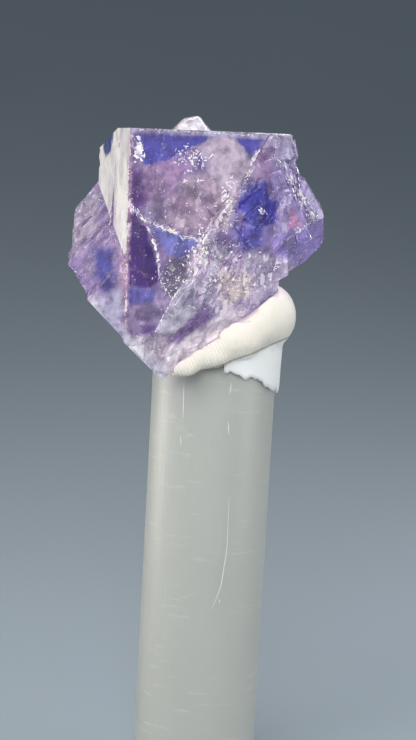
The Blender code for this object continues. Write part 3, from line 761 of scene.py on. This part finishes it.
def addFlake(bm, tree, x, z, size, slim, chance, run=None):
    hit, normal, _, _ = tree.ray_cast(mm(x, flakeLook["rayFrom"], z), Vector((0, 1, 0)))
    if hit is None or normal.y > -flakeLook["faceOn"]:
        return
    facing = (normal + gaussVector(chance, flakeLook["tilt"])).normalized()
    side = facing.orthogonal().normalized()
    side.rotate(Matrix.Rotation(chance.uniform(0, math.tau), 3, facing))
    if run and chance.random() < flakeLook["alongCrack"]:
        way = run + gaussVector(chance, flakeLook["wander"])
        side = (way - way.dot(facing) * facing).normalized()
    other = facing.cross(side)
    centre = hit + normal * mm(flakeLook["proud"])
    length = mm(chance.uniform(*size))
    width = length * chance.uniform(*slim)
    turns = sorted(chance.uniform(0, math.tau) for _ in range(chance.choice(flakeLook["corners"])))
    rim = [centre + side * length * 0.5 * math.cos(t) + other * width * 0.5 * math.sin(t) for t in turns]
    bm.faces.new([bm.verts.new(p) for p in rim])


def flakeGlintMaterial():
    board = Board("cleavageFlakeGlints")
    stops = [(place, screen(*tone)) for place, tone in flakeLook["glintTones"].items()]
    colour = board.ramp(board.cloud(flakeLook["toneSize"], 2.0), stops)
    shine = {"Roughness": flakeLook["roughness"], "Coat_Weight": flakeLook["coat"]}
    return board.finish(board.principled(Base_Color=colour, IOR=fluoriteLook["index"], **shine))


def makeFlakes(crystal):
    tree = BVHTree.FromObject(crystal, bpy.context.evaluated_depsgraph_get())
    chance = random.Random(flakeLook["seed"])
    bm = bmesh.new()
    for line in crackLines.values():
        for _ in range(line["flakes"]):
            share = chance.random()
            x, z = routePoint(line["route"], share)
            x, z = x + chance.gauss(0, line["spread"]), z + chance.gauss(0, line["spread"])
            run = routeRun(line["route"], share)
            addFlake(bm, tree, x, z, line["size"], flakeLook["needle"], chance, run)
    for field in flakeFields.values():
        for _ in range(field["flakes"]):
            x = field["centre"][0] + chance.gauss(0, field["spread"][0])
            z = field["centre"][1] + chance.gauss(0, field["spread"][1])
            addFlake(bm, tree, x, z, field["size"], flakeLook["chip"], chance)
    newPiece("cleavage_flakes_and_glints", meshFrom(bm, "cleavage_flakes_and_glints"), flakeGlintMaterial(), "fluorite")


# Veils: cracks and colour sheets inside the crystal
veils = {
    "blueSheet": {"centre": (-3.5, -5.5, 56.0), "size": (7.5, 3.4), "facing": (0.1, -0.75, 0.65),
                  "tint": (60, 56, 160), "cover": 0.62},
    "pinkSheet": {"centre": (-3.0, -4.0, 52.5), "size": (7.0, 5.0), "facing": (-0.35, -0.85, 0.3),
                  "tint": (170, 120, 170), "cover": 0.5},
    "indigoSheet": {"centre": (-5.6, -6.6, 48.2), "size": (3.4, 4.6), "facing": (-0.5, -0.8, -0.2),
                    "tint": (52, 34, 104), "cover": 0.7},
    "whiteCrack": {"centre": (-4.2, -7.4, 49.6), "size": (4.6, 1.6), "facing": (0.2, -0.5, 0.8),
                   "tint": (226, 216, 230), "cover": 0.35},
    "innerBlue": {"centre": (2.6, -3.4, 52.6), "size": (4.0, 4.6), "facing": (0.5, -0.8, 0.1),
                  "tint": (44, 44, 156), "cover": 0.7},
    "rearSheet": {"centre": (-1.0, 2.0, 50.6), "size": (9.0, 7.0), "facing": (0.2, -0.9, -0.3),
                  "tint": (150, 134, 176), "cover": 0.5},
    "crossCrack": {"centre": (0.6, -1.2, 47.8), "size": (6.0, 3.2), "facing": (0.6, -0.3, 0.74),
                   "tint": (214, 200, 216), "cover": 0.42},
    "shardSheet": {"centre": (-10.2, 1.4, 48.2), "size": (3.0, 5.4), "facing": (-0.8, -0.5, 0.2),
                   "tint": (78, 78, 150), "cover": 0.55},
}
veilLook = {
    "segments": 34,
    "rim": (0.44, 0.10, 3),  # half width, how ragged it is, and how finely
    "swells": [(0.55, 2.2), (0.12, 9)],  # how high and how fine
    "shifts": (5.3, 2.7),  # how far the noise of the rim and of the swell moves from veil to veil
    "cloud": 1.4,
    "lighter": 36,
    "roughness": 0.35,
    "index": 1.2,
    "holes": (0.62, 0.78, 0.3),  # edges of the holes in the cloud, and how far cover moves them
}


def veilMesh(name, veil, number):
    out = Vector(veil["facing"]).normalized()
    across = Vector((0, 0, 1)).cross(out).normalized()
    up = out.cross(across)
    halfWidth, ragged, often = veilLook["rim"]
    rimShift, swellShift = [number * s for s in veilLook["shifts"]]
    (high, wide), (low, narrow) = veilLook["swells"]
    segments = veilLook["segments"]
    bm = bmesh.new()
    bmesh.ops.create_grid(bm, x_segments=segments, y_segments=segments, size=0.5)
    for vert in list(bm.verts):
        u, v = vert.co.x, vert.co.y
        rim = halfWidth + ragged * noise.noise(Vector((often * u, often * v, rimShift)))
        if math.hypot(u, v) > rim:
            bm.verts.remove(vert)
            continue
        swell = high * noise.noise(Vector((wide * u, wide * v, swellShift)))
        swell += low * noise.noise(Vector((narrow * u, narrow * v, number)))
        place = mm(*veil["centre"]) + across * mm(u * veil["size"][0]) + up * mm(v * veil["size"][1])
        vert.co = place + out * mm(swell)
    mesh = meshFrom(bm, name)
    mesh.shade_smooth()
    return mesh


def veilMaterial(name, veil):
    board = Board(name)
    cloud = board.cloud(veilLook["cloud"], 5.0, 0.65, warp=0.8)
    lighter = [min(255, v + veilLook["lighter"]) for v in veil["tint"]]
    shade = board.blend(cloud, screen(*veil["tint"]), screen(*lighter))
    sheet = board.principled(Base_Color=shade, Roughness=veilLook["roughness"], IOR=veilLook["index"])
    clear = board.node("ShaderNodeBsdfTransparent")
    low, high, shift = veilLook["holes"]
    cover = cloud.step(low - shift * veil["cover"], high - shift * veil["cover"]) * veil["cover"]
    return board.finish(board.mixed(cover, clear, sheet))


def makeVeils():
    for number, (name, veil) in enumerate(veils.items()):
        newPiece(name, veilMesh(name, veil, number), veilMaterial(name, veil), "fluorite")


# Putty
puttyLook = {
    "edgeLength": 0.5,
    "smooth": 4,
    "smoothFrom": 40.4,  # the smear on the rod, below this, stays as it is
    "swellFrom": 40.6,
    "swell": 0.10,
    "dark": (222, 215, 202),
    "pale": (232, 226, 215),
    "cloud": 2.2,
    "dirt": {"size": 0.5, "edge": (0.62, 0.8), "cover": 0.5, "tint": (205, 198, 186),
             "depth": 0.06, "strength": 0.35},
    "smear": {"soft": 0.3, "cover": 0.8, "tint": (252, 250, 245)},
    "creaseShadow": {"from": (1.3, 39.4), "slope": 0.39, "wander": 0.3, "edge": (0.14, 0.03), "cover": 0.6,
               "tint": (128, 120, 108)},  # a painted shadow line from a point (x, z) between pinch and smear, under the overhanging lobe
    "ribs": {"spacing": 0.27, "run": (0.86, 0.1, 0.5), "wander": 5.0, "heights": (42.5, 40.5),
             "depth": 0.05, "strength": 0.5},  # on the tail of the pinch, none above the heights
    "roughness": 0.52,
    "glow": {"Subsurface_Weight": 0.35, "Subsurface_Radius": mm(1.0, 0.8, 0.6), "Subsurface_Scale": 1.0},
}


def puttyMaterial():
    dirt, smear, creaseShadow, ribs = [puttyLook[part] for part in ("dirt", "smear", "creaseShadow", "ribs")]
    board = Board("puttyCream")
    cloud = board.cloud(puttyLook["cloud"], 4.0)
    grime = board.cloud(dirt["size"], 4.0)
    height, sideways = board.axis("Z"), board.axis("X")
    startX, startZ = creaseShadow["from"]
    rise = (sideways - mm(startX)) * creaseShadow["slope"] + mm(startZ) + cloud * mm(creaseShadow["wander"])
    # painted shadow: a dark line where the lobe of the pinch overhangs the smear
    line = (height - rise).maths("ABSOLUTE").step(*[mm(v) for v in creaseShadow["edge"]])
    onRod = (rise - height).step(0.0, mm(smear["soft"]))
    base = board.blend(cloud, screen(*puttyLook["dark"]), screen(*puttyLook["pale"]))
    base = board.blend(grime.step(*dirt["edge"]) * dirt["cover"], base, screen(*dirt["tint"]))
    base = board.blend(onRod * smear["cover"], base, screen(*smear["tint"]))
    base = board.blend(line * creaseShadow["cover"], base, screen(*creaseShadow["tint"]))
    slide = board.vector("DOT_PRODUCT", board.place, ribs["run"]).out("Value")
    wave = (slide * (math.tau / mm(ribs["spacing"])) + cloud * ribs["wander"]).maths("SINE")
    tail = height.step(*[mm(v) for v in ribs["heights"]])
    relief = board.bump(wave * tail * (1 - onRod), ribs["depth"], ribs["strength"])
    relief = board.bump(grime, dirt["depth"], dirt["strength"], under=relief)
    glow = puttyLook["glow"]
    skin = board.principled(Base_Color=base, Roughness=puttyLook["roughness"], Normal=relief, **glow)
    return board.finish(skin)


def makePutty():
    bm = weldedCopy("putty")
    refine(bm, mm(puttyLook["edgeLength"]), 1)
    for _ in range(puttyLook["smooth"]):
        smoothOnce(bm, vertsAbove(bm, puttyLook["smoothFrom"]))
    bm.normal_update()
    for vert in vertsAbove(bm, puttyLook["swellFrom"]):
        vert.co += vert.normal * mm(puttyLook["swell"])
    mesh = meshFrom(bm, "putty_pinch")
    mesh.shade_smooth()
    newPiece("putty_pinch", mesh, puttyMaterial(), "putty", "putty")


# Rod
rodLook = {
    "radius": 5.5,
    "tone": (180, 181, 174),
    "darker": 8,
    "cloud": 6,
    "rings": {"size": 0.45, "stretch": (0.15, 0.15, 1.0), "edge": (0.60, 0.78), "cover": 0.25,
              "tint": (214, 214, 206), "depth": 0.03, "strength": 0.3},
    "frost": {"size": 0.35, "depth": 0.04, "strength": 0.35},
    "roughness": 0.38,
    "index": 1.49,
    "glow": {"Subsurface_Weight": 0.5, "Subsurface_Radius": mm(3, 3, 3), "Subsurface_Scale": 1.0},
}
scratchLook = {
    "steps": 12,
    "halfWidth": (0.035, 0.008),  # added in the middle, and all along
    "ends": 0.6,  # how far past its ends, in steps, a scratch would come to nothing
    "proud": 0.006,
    "dull": (206, 206, 198),
    "bright": (232, 232, 226),
    "cloud": 0.4,
    "roughness": 0.6,
}
scratches = {  # turn from the front towards +X in degrees, and height
    "shortOne": [(-28, 37.4), (-27, 34.2)],
    "shortTwo": [(-28.5, 32.6), (-27.5, 31.8)],
    "midOne": [(16, 37.6), (15, 36.6)],
    "midTwo": [(15, 34.2), (16.5, 33.0)],
    "longCurve": [(20, 27.5), (21, 23), (17, 19.5), (10, 17.5)],
    "dot": [(16, 18.4), (16.6, 18.0)],
}


def rodMaterial():
    rings, frost = rodLook["rings"], rodLook["frost"]
    board = Board("frostedPlastic")
    turned = board.cloud(rings["size"], 2.0, at=board.vector("MULTIPLY", board.place, rings["stretch"]))
    darker = [v - rodLook["darker"] for v in rodLook["tone"]]
    base = board.blend(board.cloud(rodLook["cloud"]), screen(*rodLook["tone"]), screen(*darker))
    base = board.blend(turned.step(*rings["edge"]) * rings["cover"], base, screen(*rings["tint"]))
    relief = board.bump(board.cloud(frost["size"], 4.0, 0.7), frost["depth"], frost["strength"])
    relief = board.bump(turned, rings["depth"], rings["strength"], under=relief)
    optics = {"Roughness": rodLook["roughness"], "IOR": rodLook["index"], **rodLook["glow"]}
    return board.finish(board.principled(Base_Color=base, Normal=relief, **optics))


def scratchMaterial():
    board = Board("scratchWhite")
    cloud = board.cloud(scratchLook["cloud"])
    pale = board.blend(cloud, screen(*scratchLook["dull"]), screen(*scratchLook["bright"]))
    return board.finish(board.principled(Base_Color=pale, Roughness=scratchLook["roughness"]))


def addScratch(bm, route):
    steps = scratchLook["steps"]
    swell, least = scratchLook["halfWidth"]
    ends = scratchLook["ends"]
    reach = rodLook["radius"] + scratchLook["proud"]
    rows = []
    for k in range(steps + 1):
        turn, height = routePoint(route, k / steps)
        half = swell * math.sin(math.pi * (k + ends) / (steps + 2 * ends)) + least
        shift = half / rodLook["radius"]
        spots = [math.radians(turn) + side for side in (-shift, shift)]
        rows.append([bm.verts.new(mm(reach * math.sin(s), -reach * math.cos(s), height)) for s in spots])
    for low, high in zip(rows, rows[1:]):
        bm.faces.new((low[0], low[1], high[1], high[0]))


def makeRod():
    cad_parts["rod"].material_slots[0].material = rodMaterial()
    bm = bmesh.new()
    for route in scratches.values():
        addScratch(bm, route)
    newPiece("rod_scratches", meshFrom(bm, "rod_scratches"), scratchMaterial(), "frosted_plastic")


makeCamera()
makeLamps()
makeSky()
makeBackdrop()
print("studio done")
crystal = makeCrystal()
print("crystal done")
makeFlakes(crystal)
makeVeils()
print("flakes and veils done")
makePutty()
makeRod()
print("putty and rod done")
